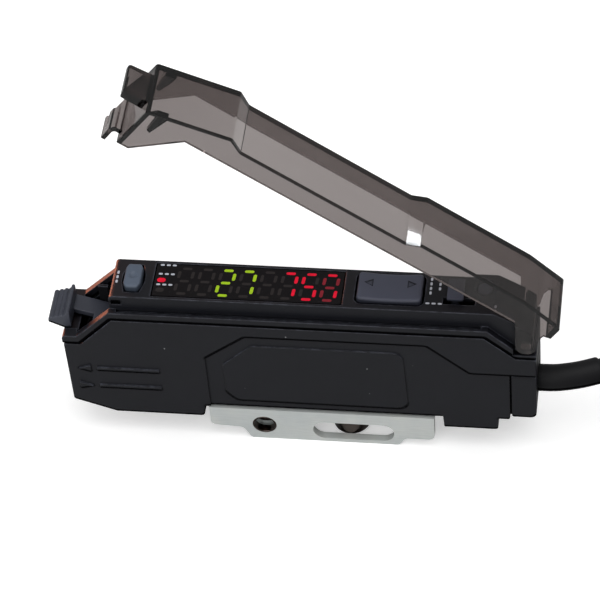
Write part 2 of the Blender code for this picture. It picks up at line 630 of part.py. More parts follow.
# Boards, switches and display blocks inside
def make_inside():
    half = DECK_HALF_WIDTH - 1.25
    board = box("display_board", -27.6, 29.0, -half, half, BOARD_Z, BOARD_Z + BOARD_THICK)
    finish_part(board, "board")
    main_board = box("main_board", -18.5, 29.2, -0.5, 0.5, 9.2, 24.9)
    join(main_board,
         box("processor", -8, 2, 0.4, 1.6, 13, 21),
         box("driver_chip", 6, 12, 0.4, 1.4, 12, 17),
         box("capacitor", 16, 20, -1.9, -0.4, 12, 18))
    cut(main_board, box("hook_relief", 21.5, 30, -3, 3, 4, 9.6))
    finish_part(main_board, "board")
    low = BOARD_Z + BOARD_THICK + 0.2
    finish_part(box("digits_left", WINDOW_X0 + 2.5, -7.15, -half, half, low, 28.9), "chip")
    finish_part(box("digits_right", -6.85, WINDOW_X1 - 0.4, -half, half, low, 28.9), "chip")
    for name, y in (("output_lamp", 0.0), ("preset_lamp", -2.0)):
        finish_part(box(name, WINDOW_X0 + 0.6, WINDOW_X0 + 2.0, y - 0.5, y + 0.5, low, 28.7), "led_red")
    switches = (("set_switch", SET_X, 0.0, 27.3), ("rocker_switch_left", ROCKER_X - 0.3 * ROCKER_LENGTH, 0.0, 28.2),
                ("rocker_switch_right", ROCKER_X + 0.3 * ROCKER_LENGTH, 0.0, 28.2),
                ("reset_switch", RESET_X, RESET_Y - 0.6, 27.4))
    for name, x, y, top in switches:
        body = box(name, x - 1.3, x + 1.3, y - 1.3, y + 1.3, low, top - 0.4)
        join(body, cylinder("switch_plunger", (x, y, top - 0.5), 0.6, 1.0, "Z", 16))
        finish_part(body, "steel")
    finish_part(box("slide_switch", SLIDE_X - 2.0, SLIDE_X + 2.6, -2.5, 0.4, low, 27.9), "steel")


# Bracket: folded zinc-plated sheet, with a round hole and a slot in its upright flange and a riveted post behind each
def make_bracket():
    outline = rounded([
        (BRACKET_X0, WEB_TOP_Z), (BRACKET_X0, 2.7, 0.9), (-10.4, 2.4, 1.0), (-9.2, 0, 0.6),
        (14.0, 0, 0.6), (15.0, 1.65, 0.8), (BRACKET_X1, 1.65, 1.0), (BRACKET_X1, WEB_TOP_Z),
    ], 4)
    bracket = extruded("rail_bracket", outline, -HALF_WIDTH, SHEET - HALF_WIDTH)
    join(bracket, box("web", BRACKET_X0, BRACKET_X1, -HALF_WIDTH + 0.2, HALF_WIDTH, WEB_TOP_Z - SHEET, WEB_TOP_Z))
    slot = rounded([(0.6, 0.75, 1.85), (13.3, 0.75, 1.85), (13.3, 4.5, 1.85), (0.6, 4.5, 1.85)], 8)
    for x in (HOLE_X, POST_X):
        join(bracket, cylinder("post", (x, SHEET - HALF_WIDTH + 0.6 + POST_R, 3.4), POST_R, 5.2, "Z", 32))
    cut(bracket,
        cylinder("screw_hole", (HOLE_X, -HALF_WIDTH, 3.25), 1.9, 3, "Y", 32),
        extruded("screw_slot", slot, -9, 0.3 + SHEET - HALF_WIDTH))
    return finish_part(bracket, "zinc")


# Spring hook: slides in the right foot and grips the rail edge
def make_rail_hook():
    outline = rounded([(18.7, BOTTOM_Z), (18.7, BOTTOM_Z + 0.25), (19.2, BOTTOM_Z + 0.5), (20.4, BOTTOM_Z + 0.5),
                       (21.6, 6.5, 0.4), (30.6, 6.5, 0.4), (30.6, BOTTOM_Z)], 3)
    hook = extruded("rail_hook", outline, -1.5, 1.5)
    cut(hook, box("tool_slot", 29.6, 30.1, -0.9, 0.9, 4, 7))
    finish_part(hook, "case")
    return put_origin(hook, 30, 0, BOTTOM_Z)


# Cable: moulded boot, the free stretch, the stored hank with its tie, and the stripped leads
def make_cable():
    boot_knots = [(33.7, 0, CABLE_Z), (36.2, 0, CABLE_Z), (38.5, 0.15, CABLE_Z), (41.6, 0.9, CABLE_Z),
                  (BOOT_END[0], BOOT_END[1], CABLE_Z)]
    boot_path = [Vector((31.9, 0, CABLE_Z)), Vector((33.0, 0, CABLE_Z)), Vector((33.02, 0, CABLE_Z)),
                 *smooth_path(boot_knots, 3)]
    radii = [1.38, 1.38, 1.0] + [1.0] * (len(boot_path) - 3)
    tube("cable_boot", boot_path, BOOT_D, radii, 4)
    start = (BOOT_END[0] + 0.38, BOOT_END[1] + 0.16, CABLE_Z)
    tube("cable", smooth_path([start, (48.2, 3.6, 12.05), (51.4, 4.95, 11.9), (54.4, 6.1, 11.95)], 3), CABLE_D)
    make_hank()
    tail_x, tail_y = HANK_X0 + HANK_OUTER_HALF + 12, HANK_Y + HANK_INNER_HALF - GAP - CABLE_D / 2 - 0.05
    tail_knots = [(tail_x, tail_y, CABLE_D / 2 + 0.02), (tail_x + 4, tail_y - 0.65, CABLE_D / 2 + 0.02),
                  (tail_x + 8, tail_y - 1.75, CABLE_D / 2 + 0.02)]
    tube("cable_tail", smooth_path(tail_knots, 4), CABLE_D)
    along, aside = Vector((0.94, -0.34, 0)), Vector((0.34, 0.94, 0))
    end = Vector((tail_x + 8.5, tail_y - 1.9, 0))
    for name, side, up, spread in (("brown", -0.72, -0.72, -5.2), ("blue", 0.72, -0.72, 2.0),
                                   ("black", -0.72, 0.72, -1.7), ("white", 0.72, 0.72, 5.4)):
        height = CABLE_D / 2 + up + 0.02
        lead_knots = [end + aside * side + Vector((0, 0, height)),
                      end + along * 3 + aside * (side + 0.16 * spread) + Vector((0, 0, height - 0.25 * (up + 0.2))),
                      end + along * 8 + aside * (0.6 * spread) + Vector((0, 0, LEAD_D / 2 + 0.1)),
                      end + along * 14 + aside * spread + Vector((0, 0, LEAD_D / 2 + 0.02))]
        lead = tube("lead_" + name, smooth_path(lead_knots, 4), LEAD_D, None, 1)
        lead.data.materials[0] = MATERIALS[name]


def make_hank():
    """The stored length: a long flat loop of turns, three across and five high, the outer ones four high."""
    middle = HANK_X0 + HANK_OUTER_HALF + HANK_RUN / 2

    def loop(name, half, low, high):
        return slot_block(name, middle, HANK_Y, HANK_RUN + 2 * half, 2 * half, low, high, half - 0.6)

    hank = loop("cable_coil", HANK_OUTER_HALF, 0.02, HANK_HEIGHT - CABLE_D)
    join(hank, loop("hank_top_turns", HANK_OUTER_HALF - CABLE_D, 1.0, HANK_HEIGHT))
    cut(hank, loop("hank_middle", HANK_INNER_HALF, -5, 40))
    finish_part(hank, "rubber")
    near, far = HANK_Y - HANK_OUTER_HALF - GAP, HANK_Y + HANK_OUTER_HALF + GAP
    tie = box("coil_tie", middle - 3, middle + 3, near - 0.6, far + 0.6, 0.02, HANK_HEIGHT + GAP + 0.6)
    cut(tie, box("tie_inside", middle - 9, middle + 9, near, far, -1, HANK_HEIGHT + GAP))
    return finish_part(tie, "rubber")


make_case_lower()
make_case_upper()
make_rear_cap()
make_cover()
make_hinge_pin()
make_lever()
make_lever_pin()
make_optics()
make_controls()
make_inside()
make_bracket()
make_rail_hook()
make_cable()
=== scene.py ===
import math

import bmesh
import bpy
from mathutils import Matrix, Vector


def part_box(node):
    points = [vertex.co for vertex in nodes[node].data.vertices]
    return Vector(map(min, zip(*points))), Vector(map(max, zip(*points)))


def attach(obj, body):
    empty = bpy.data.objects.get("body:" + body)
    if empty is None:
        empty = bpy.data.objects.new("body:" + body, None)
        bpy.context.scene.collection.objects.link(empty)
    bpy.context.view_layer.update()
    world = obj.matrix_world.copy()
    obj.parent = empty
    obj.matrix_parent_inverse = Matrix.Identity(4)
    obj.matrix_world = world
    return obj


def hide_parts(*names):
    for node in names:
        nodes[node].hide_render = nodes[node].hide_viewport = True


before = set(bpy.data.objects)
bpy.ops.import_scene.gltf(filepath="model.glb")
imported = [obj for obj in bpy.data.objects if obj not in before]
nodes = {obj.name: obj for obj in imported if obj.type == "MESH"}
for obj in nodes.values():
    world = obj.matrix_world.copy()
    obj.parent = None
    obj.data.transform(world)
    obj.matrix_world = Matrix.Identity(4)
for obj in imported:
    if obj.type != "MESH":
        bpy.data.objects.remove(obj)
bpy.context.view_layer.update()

# Rail bracket. A folded strip of rolled steel sheet, punched with a round hole and a slot, then zinc
# plated and passivated. The eye sees a dull silver with faint rolling lines and a cloudy, slightly
# warm and cool bloom, and brighter cut edges.
MM = 0.001


def linear(colour):
    """An sRGB hex colour as the linear one that a shader takes."""
    parts = [int(colour[index:index + 2], 16) / 255 for index in (0, 2, 4)]
    return [part / 12.92 if part <= 0.04045 else ((part + 0.055) / 1.055) ** 2.4 for part in parts] + [1.0]


def add(tree, kind, settings=None, links=None):
    """Adds a node, sets its options and sockets, and links other nodes' sockets into it."""
    node = tree.nodes.new(kind)
    for name, value in (settings or {}).items():
        if isinstance(name, str) and hasattr(node, name):
            setattr(node, name, value)
        else:
            node.inputs[name].default_value = value
    for name, source in (links or {}).items():
        tree.links.new(source, node.inputs[name])
    return node


def new_material(name):
    """An empty node material: the tree, its Principled shader and its Object coordinates."""
    material = bpy.data.materials.new(name)
    material.use_nodes = True
    tree = material.node_tree
    shader = tree.nodes["Principled BSDF"]
    place = add(tree, "ShaderNodeTexCoord").outputs["Object"]
    return material, tree, shader, place


def dress(names, material):
    """Gives CAD nodes a finish."""
    for name in names:
        mesh = nodes[name].data
        mesh.materials.clear()
        mesh.materials.append(material)


zinc, tree, shader, place = new_material("zinc_plated_steel")
shader.inputs["Metallic"].default_value = 0.5
bloom = add(tree, "ShaderNodeTexNoise", {"Scale": 130.0, "Detail": 4.0, "Roughness": 0.6}, {"Vector": place})
bloom_tint = add(tree, "ShaderNodeValToRGB", None, {"Fac": bloom.outputs["Fac"]})
bloom_tint.color_ramp.elements[0].position = 0.3
bloom_tint.color_ramp.elements[0].color = linear("d6dcdc")
bloom_tint.color_ramp.elements[1].position = 0.75
bloom_tint.color_ramp.elements[1].color = linear("e8ebe7")
# Rolling lines run along the strip, about 0.15 mm apart
stretch = add(tree, "ShaderNodeMapping", {"Scale": (0.05, 1.0, 1.0)}, {"Vector": place})
rolling = add(tree, "ShaderNodeTexNoise", {"Scale": 6500.0, "Detail": 2.0},
              {"Vector": stretch.outputs["Vector"]})
streaked = add(tree, "ShaderNodeMixRGB", {"blend_type": "MULTIPLY", "Fac": 0.22},
               {"Color1": bloom_tint.outputs["Color"], "Color2": rolling.outputs["Fac"]})
tree.links.new(streaked.outputs["Color"], shader.inputs["Base Color"])
zinc_rough = add(tree, "ShaderNodeMapRange", {"To Min": 0.30, "To Max": 0.48},
                 {"Value": bloom.outputs["Fac"]})
tree.links.new(zinc_rough.outputs["Result"], shader.inputs["Roughness"])
zinc_bump = add(tree, "ShaderNodeBump", {"Strength": 0.15, "Distance": 0.02 * MM},
                {"Height": rolling.outputs["Fac"]})
tree.links.new(zinc_bump.outputs["Normal"], shader.inputs["Normal"])
dress(["rail_bracket"], zinc)

# Sleeves and eyelet. A blackened steel sleeve with a domed foot sits over each of the bracket's two
# posts, seen through the hole and the slot as a dark, shiny, brownish shape, and a turned eyelet lines
# the round hole. Both are dark pieces put in for the shade seen in the hole and the slot.
blackened, tree, shader, place = new_material("blackened_steel")
shader.inputs["Metallic"].default_value = 1.0
patina = add(tree, "ShaderNodeTexNoise", {"Scale": 500.0, "Detail": 4.0}, {"Vector": place})
patina_tint = add(tree, "ShaderNodeMixRGB", {"Color1": linear("3e3532"), "Color2": linear("5c524e")},
                  {"Fac": patina.outputs["Fac"]})
tree.links.new(patina_tint.outputs["Color"], shader.inputs["Base Color"])
patina_rough = add(tree, "ShaderNodeMapRange", {"To Min": 0.12, "To Max": 0.28},
                   {"Value": patina.outputs["Fac"]})
tree.links.new(patina_rough.outputs["Result"], shader.inputs["Roughness"])


def round_bar(name, points, diameter, material, resolution=6, swell=None):
    """A round curve along the points, with filled ends. Swell scales the thickness at each point."""
    curve = bpy.data.curves.new(name, "CURVE")
    curve.dimensions = "3D"
    curve.bevel_depth = diameter / 2 * MM
    curve.bevel_resolution = resolution
    curve.use_fill_caps = True
    spline = curve.splines.new("POLY")
    spline.points.add(len(points) - 1)
    for index, (point, where) in enumerate(zip(spline.points, points)):
        point.co = (*(Vector(where) * MM), 1)
        point.radius = swell[index] if swell else 1.0
    curve.materials.append(material)
    piece = bpy.data.objects.new(name, curve)
    bpy.context.scene.collection.objects.link(piece)
    return piece


HOLE_X, HOLE_Z = -7.0, 3.25
SLEEVE, SLEEVE_Y = 6.0, -0.65
# The height and relative width down each sleeve. The left one is shorter, and its post's end shows under it
SLEEVES = {"left": (HOLE_X, [(5.5, 1.0), (2.9, 1.0), (2.6, 0.97), (2.42, 0.91), (2.32, 0.84)]),
           "right": (6.2, [(5.5, 1.0), (0.9, 1.0), (0.5, 0.97), (0.25, 0.9), (0.1, 0.78)])}
for side, (x, profile) in SLEEVES.items():
    sleeve = round_bar("post_sleeve_" + side, [(x, SLEEVE_Y, z) for z, _ in profile], SLEEVE, blackened, 10,
                       [scale for _, scale in profile])
    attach(sleeve, "base")
SHARP_FROM = math.radians(32)


def turned_ring(name, x, z, section, material):
    """A ring turned about a line along Y. The section's corners are (radius, y)."""
    steps, count = 48, len(section)
    angles = [math.tau * step / steps for step in range(steps)]
    points = [(x + radius * math.cos(angle), y, z + radius * math.sin(angle))
              for angle in angles for radius, y in section]
    faces = [(step * count + index, step * count + (index + 1) % count,
              (step + 1) % steps * count + (index + 1) % count, (step + 1) % steps * count + index)
             for step in range(steps) for index in range(count)]
    mesh = bpy.data.meshes.new(name)
    mesh.from_pydata([Vector(point) * MM for point in points], [], faces)
    mesh.materials.append(material)
    mesh.shade_smooth()
    mesh.set_sharp_from_angle(angle=SHARP_FROM)
    piece = bpy.data.objects.new(name, mesh)
    bpy.context.scene.collection.objects.link(piece)
    return piece


EYELET = [(1.88, -4.86), (1.88, -3.72), (1.56, -3.72), (1.56, -4.86), (1.66, -4.94), (1.8, -4.94)]
eyelet = turned_ring("eyelet", HOLE_X, HOLE_Z, EYELET, blackened)
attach(eyelet, "base")

# Lower case, upper case, rear cap and rail hook. Black glass-filled PBT, injection moulded with a fine
# spark-eroded texture. The eye sees a soft, nearly even black with a broad sheen, a thin painted
# highlight along upper moulded edges, painted shade under lower ones, and a few pale specks of dust.


def moulded(name, colour, sheen_colour, roughness, grain, shine, specks=0.0, painted_flank_light=1.0):
    """Moulded thermoplastic with an eroded mould texture: a grain size in mm, a painted highlight that makes
    upper edges a little paler, painted shade under overhangs and in fine steps, a share of dust specks, and
    for a key how bright its flanks are painted in the shade of their opening."""
    material, tree, shader, place = new_material(name)
    shader.inputs["IOR"].default_value = 1.54
    cloud = add(tree, "ShaderNodeTexNoise", {"Scale": 160.0, "Detail": 3.0}, {"Vector": place})
    base = add(tree, "ShaderNodeMixRGB", {"Color1": linear(colour), "Color2": linear(sheen_colour)},
               {"Fac": cloud.outputs["Fac"]})
    # A bevel's normal leaves the true one only near an edge. The narrow one softens the edge itself, and
    # the wide one finds upper edges, which get a painted highlight, and overhanging ones, which get painted
    # shade
    soft = add(tree, "ShaderNodeBevel", {"samples": 4, "Radius": 0.22 * MM})
    flat = add(tree, "ShaderNodeNewGeometry")
    rounder = add(tree, "ShaderNodeBevel", {"samples": 8, "Radius": 0.62 * MM})
    apart = add(tree, "ShaderNodeVectorMath", {"operation": "DOT_PRODUCT"},
                {0: rounder.outputs["Normal"], 1: flat.outputs["True Normal"]})
    edge_highlight = add(tree, "ShaderNodeMapRange", {"From Min": 0.93, "From Max": 0.75, "To Max": 0.45},
               {"Value": apart.outputs["Value"]})
    patchy = add(tree, "ShaderNodeTexNoise", {"Scale": 900.0, "Detail": 3.0}, {"Vector": place})
    patches = add(tree, "ShaderNodeMapRange",
                  {"From Min": 0.38, "From Max": 0.62, "To Min": 0.35, "To Max": 1.4},
                  {"Value": patchy.outputs["Fac"]})
    tilt = add(tree, "ShaderNodeSeparateXYZ", None, {"Vector": rounder.outputs["Normal"]}).outputs["Z"]
    raised = add(tree, "ShaderNodeMapRange", {"From Min": 0.02, "From Max": 0.2}, {"Value": tilt})
    upper_edge_highlight = add(tree, "ShaderNodeMath", {"operation": "MULTIPLY"},
                  {0: edge_highlight.outputs["Result"], 1: raised.outputs["Result"]})
    patchy_edge_highlight = add(tree, "ShaderNodeMath", {"operation": "MULTIPLY", "use_clamp": True},
                 {0: upper_edge_highlight.outputs["Value"], 1: patches.outputs["Result"]})
    highlighted = add(tree, "ShaderNodeMixRGB", {"Color2": linear("5c5f6b")},
                {"Fac": patchy_edge_highlight.outputs["Value"], "Color1": base.outputs["Color"]})
    # Painted shade: fine steps and joints are darker under their upper edge, where light from above doesn't
    # reach
    upward = add(tree, "ShaderNodeVectorMath", {"operation": "ADD", 1: (0.0, 0.0, 1.1)},
                 {0: flat.outputs["True Normal"]})
    reach = add(tree, "ShaderNodeAmbientOcclusion", {"samples": 8, "Distance": 1.6 * MM},
                {"Normal": upward.outputs["Vector"]})
    open_air = add(tree, "ShaderNodeMapRange", {"From Min": 0.25, "From Max": 0.72},
                   {"Value": reach.outputs["AO"]})
    level = add(tree, "ShaderNodeSeparateXYZ", None, {"Vector": flat.outputs["True Normal"]}).outputs["Z"]
    overhang = add(tree, "ShaderNodeMapRange", {"From Min": -0.09, "From Max": -0.015}, {"Value": tilt})
    underside = add(tree, "ShaderNodeMath", {"operation": "LESS_THAN", 1: -0.3}, {0: level})
    upper = add(tree, "ShaderNodeMath", {"operation": "MAXIMUM"},
                {0: overhang.outputs["Result"], 1: underside.outputs["Value"]})
    exposed = add(tree, "ShaderNodeMath", {"operation": "MULTIPLY"},
                  {0: open_air.outputs["Result"], 1: upper.outputs["Value"]})
    # A key's flanks are painted darker, as shade in its opening
    flank_shade = add(tree, "ShaderNodeMapRange", {"From Min": 0.35, "From Max": 0.85, "To Min": painted_flank_light},
                {"Value": tilt})
    # The painted light, lower there and on a key's flanks, dims the sheen and darkens the colour to near
    # black
    lit = add(tree, "ShaderNodeMath", {"operation": "MULTIPLY"},
              {0: exposed.outputs["Value"], 1: flank_shade.outputs["Result"]})
    sheen = add(tree, "ShaderNodeMath", {"operation": "MULTIPLY", 1: shine}, {0: lit.outputs["Value"]})
    tree.links.new(sheen.outputs["Value"], shader.inputs["Specular IOR Level"])
    colour_out = highlighted.outputs["Color"]
    if specks:
        dust = add(tree, "ShaderNodeTexVoronoi", {"Scale": 420.0}, {"Vector": place})
        near = add(tree, "ShaderNodeMapRange", {"From Min": 0.055, "From Max": 0.03},
                   {"Value": dust.outputs["Distance"]})
        lot = add(tree, "ShaderNodeSeparateColor", None, {"Color": dust.outputs["Color"]})
        few = add(tree, "ShaderNodeMath", {"operation": "LESS_THAN", 1: specks}, {0: lot.outputs["Red"]})
        both = add(tree, "ShaderNodeMath", {"operation": "MULTIPLY"},
                   {0: near.outputs["Result"], 1: few.outputs["Value"]})
        dusty = add(tree, "ShaderNodeMixRGB", {"Color2": linear("9a9a9c")},
                    {"Fac": both.outputs["Value"], "Color1": colour_out})
        colour_out = dusty.outputs["Color"]
    shaded = add(tree, "ShaderNodeMixRGB", {"Color1": linear("060607")},
                 {"Fac": lit.outputs["Value"], "Color2": colour_out})
    tree.links.new(shaded.outputs["Color"], shader.inputs["Base Color"])
    texture = add(tree, "ShaderNodeTexNoise", {"Scale": 1 / (grain * MM), "Detail": 2.0}, {"Vector": place})
    rough = add(tree, "ShaderNodeMapRange", {"To Min": roughness - 0.06, "To Max": roughness + 0.06},
                {"Value": texture.outputs["Fac"]})
    tree.links.new(rough.outputs["Result"], shader.inputs["Roughness"])
    bump = add(tree, "ShaderNodeBump", {"Strength": 0.25, "Distance": 0.03 * MM},
               {"Height": texture.outputs["Fac"], "Normal": soft.outputs["Normal"]})
    tree.links.new(bump.outputs["Normal"], shader.inputs["Normal"])
    return material


pbt = moulded("moulded_black_pbt", "121318", "16171d", 0.42, 0.16, 0.25, 0.16)
dress(["case_lower", "case_upper", "rear_cap", "rail_hook"], pbt)

# Joint strip. A thin black block fills the joint between the lower case and the rear cap, standing in for
# the shade inside the joint, and all that shows of it is a dull black line.
joint_shade_fill = moulded("black_joint_shade_fill", "0c0c0d", "101011", 0.8, 0.2, 0.05)


def plain_box(name, low, high, material):
    """A block between two corners in millimetres."""
    corners = [(x, y, z) for x in (low[0], high[0]) for y in (low[1], high[1]) for z in (low[2], high[2])]
    mesh = bpy.data.meshes.new(name)
    mesh.from_pydata([Vector(corner) * MM for corner in corners], [],
                     [(0, 1, 3, 2), (4, 6, 7, 5), (0, 4, 5, 1), (2, 3, 7, 6), (0, 2, 6, 4), (1, 5, 7, 3)])
    mesh.materials.append(material)
    piece = bpy.data.objects.new(name, mesh)
    bpy.context.scene.collection.objects.link(piece)
    return piece


strip = plain_box("joint_strip", (31.37, -4.3, 8.2), (31.63, 4.3, 17.4), joint_shade_fill)
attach(strip, "base")

# Fibre seat, port bushes and optical units. A black PPS block holds the two fibres, with moulded rubber
# bushes in the port holes and turned steel lens barrels behind them.
pps = moulded("moulded_black_pps", "131315", "18181b", 0.4, 0.12, 0.15)
dress(["fibre_seat"], pps)
rubber = moulded("moulded_rubber", "101012", "18181a", 0.75, 0.2, 0.25)
dress(["transmit_bush", "receive_bush"], rubber)
turned_steel, tree, shader, place = new_material("turned_stainless_steel")
shader.inputs["Metallic"].default_value = 1.0
lathe = add(tree, "ShaderNodeTexNoise", {"Scale": 5000.0, "Detail": 1.0}, {"Vector": place})
lathe_tint = add(tree, "ShaderNodeMixRGB", {"Color1": linear("a8a6a4"), "Color2": linear("c4c2be")},
                 {"Fac": lathe.outputs["Fac"]})
tree.links.new(lathe_tint.outputs["Color"], shader.inputs["Base Color"])
lathe_rough = add(tree, "ShaderNodeMapRange", {"To Min": 0.18, "To Max": 0.3},
                  {"Value": lathe.outputs["Fac"]})
tree.links.new(lathe_rough.outputs["Result"], shader.inputs["Roughness"])
dress(["transmit_unit", "receive_unit"], turned_steel)

# Boards. Glass-epoxy laminate under a dark green, nearly black solder mask, with fine copper tracks
# showing through as slightly paler lines.
laminate, tree, shader, place = new_material("solder_mask_on_laminate")
tracks = add(tree, "ShaderNodeTexBrick", {"Scale": 600.0, "Mortar Size": 0.06, "Color1": linear("10201a"),
                                          "Color2": linear("12241c"), "Mortar": linear("1e3228")},
             {"Vector": place})
tree.links.new(tracks.outputs["Color"], shader.inputs["Base Color"])
shader.inputs["Roughness"].default_value = 0.3
dress(["display_board", "main_board"], laminate)

# Display lens. A smoked acrylic plate pressed into the deck, glossy on top, nearly black, with a warm
# cast from the unlit digit blocks under it.
lens, tree, shader, place = new_material("smoked_acrylic_lens")
shader.inputs["IOR"].default_value = 1.49
depth_tint = add(tree, "ShaderNodeTexNoise", {"Scale": 260.0, "Detail": 2.0}, {"Vector": place})
lens_colour = add(tree, "ShaderNodeMixRGB", {"Color1": linear("141214"), "Color2": linear("181617")},
                  {"Fac": depth_tint.outputs["Fac"]})
tree.links.new(lens_colour.outputs["Color"], shader.inputs["Base Color"])
wipe = add(tree, "ShaderNodeTexNoise", {"Scale": 900.0, "Detail": 3.0}, {"Vector": place})
lens_rough = add(tree, "ShaderNodeMapRange", {"To Min": 0.12, "To Max": 0.24}, {"Value": wipe.outputs["Fac"]})
tree.links.new(lens_rough.outputs["Result"], shader.inputs["Roughness"])
shader.inputs["Specular IOR Level"].default_value = 0.12
dress(["display_window"], lens)

# Digits. Eight seven-segment characters in two black PPS blocks, their rounded bars seen through the
# lens: green ones in the third and fourth places, red ones in the last three, and the unlit bars as a
# faint warm grey.
DIGIT_PITCH = 3.16
FIRST_DIGIT = Vector((-17.86, -0.07))
BARS = {"a": (0, 2.52, 0), "b": (1.03, 1.26, 1), "c": (1.03, -1.26, 1), "d": (0, -2.52, 0),
        "e": (-1.03, -1.26, 1), "f": (-1.03, 1.26, 1), "g": (0, 0, 0)}
dress(["digits_left", "digits_right"], pps)
lens_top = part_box("display_window")[1].z


def glowing(name, colour, edge_colour, strength):
    """A diffusing segment seen through the smoked lens: its colour is uneven, paler at some spots."""
    material, tree, shader, place = new_material(name)
    blotch = add(tree, "ShaderNodeTexNoise", {"Scale": 1500.0, "Detail": 1.0}, {"Vector": place})
    tint = add(tree, "ShaderNodeMixRGB", {"Color1": linear(edge_colour), "Color2": linear(colour)},
               {"Fac": blotch.outputs["Fac"]})
    tree.links.new(tint.outputs["Color"], shader.inputs["Base Color"])
    if strength:
        tree.links.new(tint.outputs["Color"], shader.inputs["Emission Color"])
        shader.inputs["Emission Strength"].default_value = strength
    shader.inputs["Roughness"].default_value = 0.2
    shader.inputs["Specular IOR Level"].default_value = 0.3
    return material


def bar_tree():
    """Puts a rounded bar on each point, turned by the point's turn attribute, and slants the whole row."""
    tree = bpy.data.node_groups.new("digit_bars", "GeometryNodeTree")
    face = tree.interface
    face.new_socket("Geometry", in_out="INPUT", socket_type="NodeSocketGeometry")
    for name in ("Bar length", "Bar width", "Bar height", "Slant"):
        face.new_socket(name, in_out="INPUT", socket_type="NodeSocketFloat")
    face.new_socket("Finish", in_out="INPUT", socket_type="NodeSocketMaterial")
    face.new_socket("Geometry", in_out="OUTPUT", socket_type="NodeSocketGeometry")
    given = add(tree, "NodeGroupInput").outputs
    outline = add(tree, "GeometryNodeCurvePrimitiveQuadrilateral", None,
                  {"Width": given["Bar length"], "Height": given["Bar width"]})
    corner = add(tree, "ShaderNodeMath", {"operation": "MULTIPLY", 1: 0.48}, {0: given["Bar width"]})
    softened = add(tree, "GeometryNodeFilletCurve", {"mode": "POLY", "Count": 4},
                   {"Curve": outline.outputs["Curve"], "Radius": corner.outputs["Value"]})
    face_up = add(tree, "GeometryNodeFillCurve", {"mode": "NGONS"}, {"Curve": softened.outputs["Curve"]})
    raised = add(tree, "GeometryNodeExtrudeMesh", None,
                 {"Mesh": face_up.outputs["Mesh"], "Offset Scale": given["Bar height"]})
    under = add(tree, "GeometryNodeFlipFaces", None, {"Mesh": face_up.outputs["Mesh"]})
    both = add(tree, "GeometryNodeJoinGeometry", None, {"Geometry": under.outputs["Mesh"]})
    tree.links.new(raised.outputs["Mesh"], both.inputs["Geometry"])
    closed = add(tree, "GeometryNodeMergeByDistance", {"Distance": 0.000001},
                 {"Geometry": both.outputs["Geometry"]})
    turn = add(tree, "GeometryNodeInputNamedAttribute", {"data_type": "FLOAT", "Name": "turn"})
    turned = add(tree, "ShaderNodeCombineXYZ", None, {"Z": turn.outputs["Attribute"]})
    placed = add(tree, "GeometryNodeInstanceOnPoints", None,
                 {"Points": given["Geometry"], "Instance": closed.outputs["Geometry"],
                  "Rotation": turned.outputs["Vector"]})
    real = add(tree, "GeometryNodeRealizeInstances", None, {"Geometry": placed.outputs["Instances"]})
    here = add(tree, "GeometryNodeInputPosition")
    split = add(tree, "ShaderNodeSeparateXYZ", None, {"Vector": here.outputs["Position"]})
    lean = add(tree, "ShaderNodeMath", {"operation": "MULTIPLY"}, {0: split.outputs["Y"], 1: given["Slant"]})
    shift = add(tree, "ShaderNodeCombineXYZ", None, {"X": lean.outputs["Value"]})
    slanted = add(tree, "GeometryNodeSetPosition", None,
                  {"Geometry": real.outputs["Geometry"], "Offset": shift.outputs["Vector"]})
    finished = add(tree, "GeometryNodeSetMaterial", None,
                   {"Geometry": slanted.outputs["Geometry"], "Material": given["Finish"]})
    add(tree, "NodeGroupOutput", None, {"Geometry": finished.outputs["Geometry"]})
    return tree


def grown(name, points, attributes, tree, values):
    """Runs a Geometry Nodes tree on loose points and keeps the result as a plain mesh object."""
    mesh = bpy.data.meshes.new(name)
    mesh.from_pydata([Vector(point) * MM for point in points], [], [])
    for label, numbers in attributes.items():
        mesh.attributes.new(label, "FLOAT", "POINT").data.foreach_set("value", numbers)
    source = bpy.data.objects.new(name + "_points", mesh)
    bpy.context.scene.collection.objects.link(source)
    modifier = source.modifiers.new("nodes", "NODES")
    modifier.node_group = tree
    for label, value in values.items():
        modifier[tree.interface.items_tree[label].identifier] = value
    evaluated = source.evaluated_get(bpy.context.evaluated_depsgraph_get())
    plain = bpy.data.meshes.new_from_object(evaluated)
    plain.name = name
    bpy.data.objects.remove(source, do_unlink=True)
    piece = bpy.data.objects.new(name, plain)
    bpy.context.scene.collection.objects.link(piece)
    return piece


bars = bar_tree()
LIT = {"green": {2: "abdeg", 3: "abc"}, "red": {5: "abc", 6: "afgcd", 7: "ac"}, "dim_red": {7: "bdefg"}}
LIT["unlit"] = {
    place_no: "".join(bar for bar in BARS if not any(bar in lit.get(place_no, "") for lit in LIT.values()))
    for place_no in range(8)
}
FINISHES = {
    "green": glowing("green_segment_through_smoke", "98b81a", "80a012", 0.35),
    "red": glowing("red_segment_through_smoke", "d2062a", "b40422", 0.4),
    "dim_red": glowing("dim_red_segment_through_smoke", "7c1a26", "681520", 0.3),
    "unlit": glowing("unlit_segment_through_smoke", "292424", "242020", 0.0),
}
for kind, lit in LIT.items():
    points, turns = [], []
    for place_no, shown in lit.items():
        for bar in shown:
            x, y, upright = BARS[bar]
            points.append((FIRST_DIGIT.x + place_no * DIGIT_PITCH + x, FIRST_DIGIT.y + y, lens_top / MM))
            turns.append(upright * math.pi / 2)
    segments = grown("digits_" + kind, points, {"turn": turns}, bars,
                     {"Bar length": 1.42 * MM, "Bar width": 0.5 * MM, "Bar height": 0.012 * MM, "Slant": 0.07,
                      "Finish": FINISHES[kind]})
    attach(segments, "base")

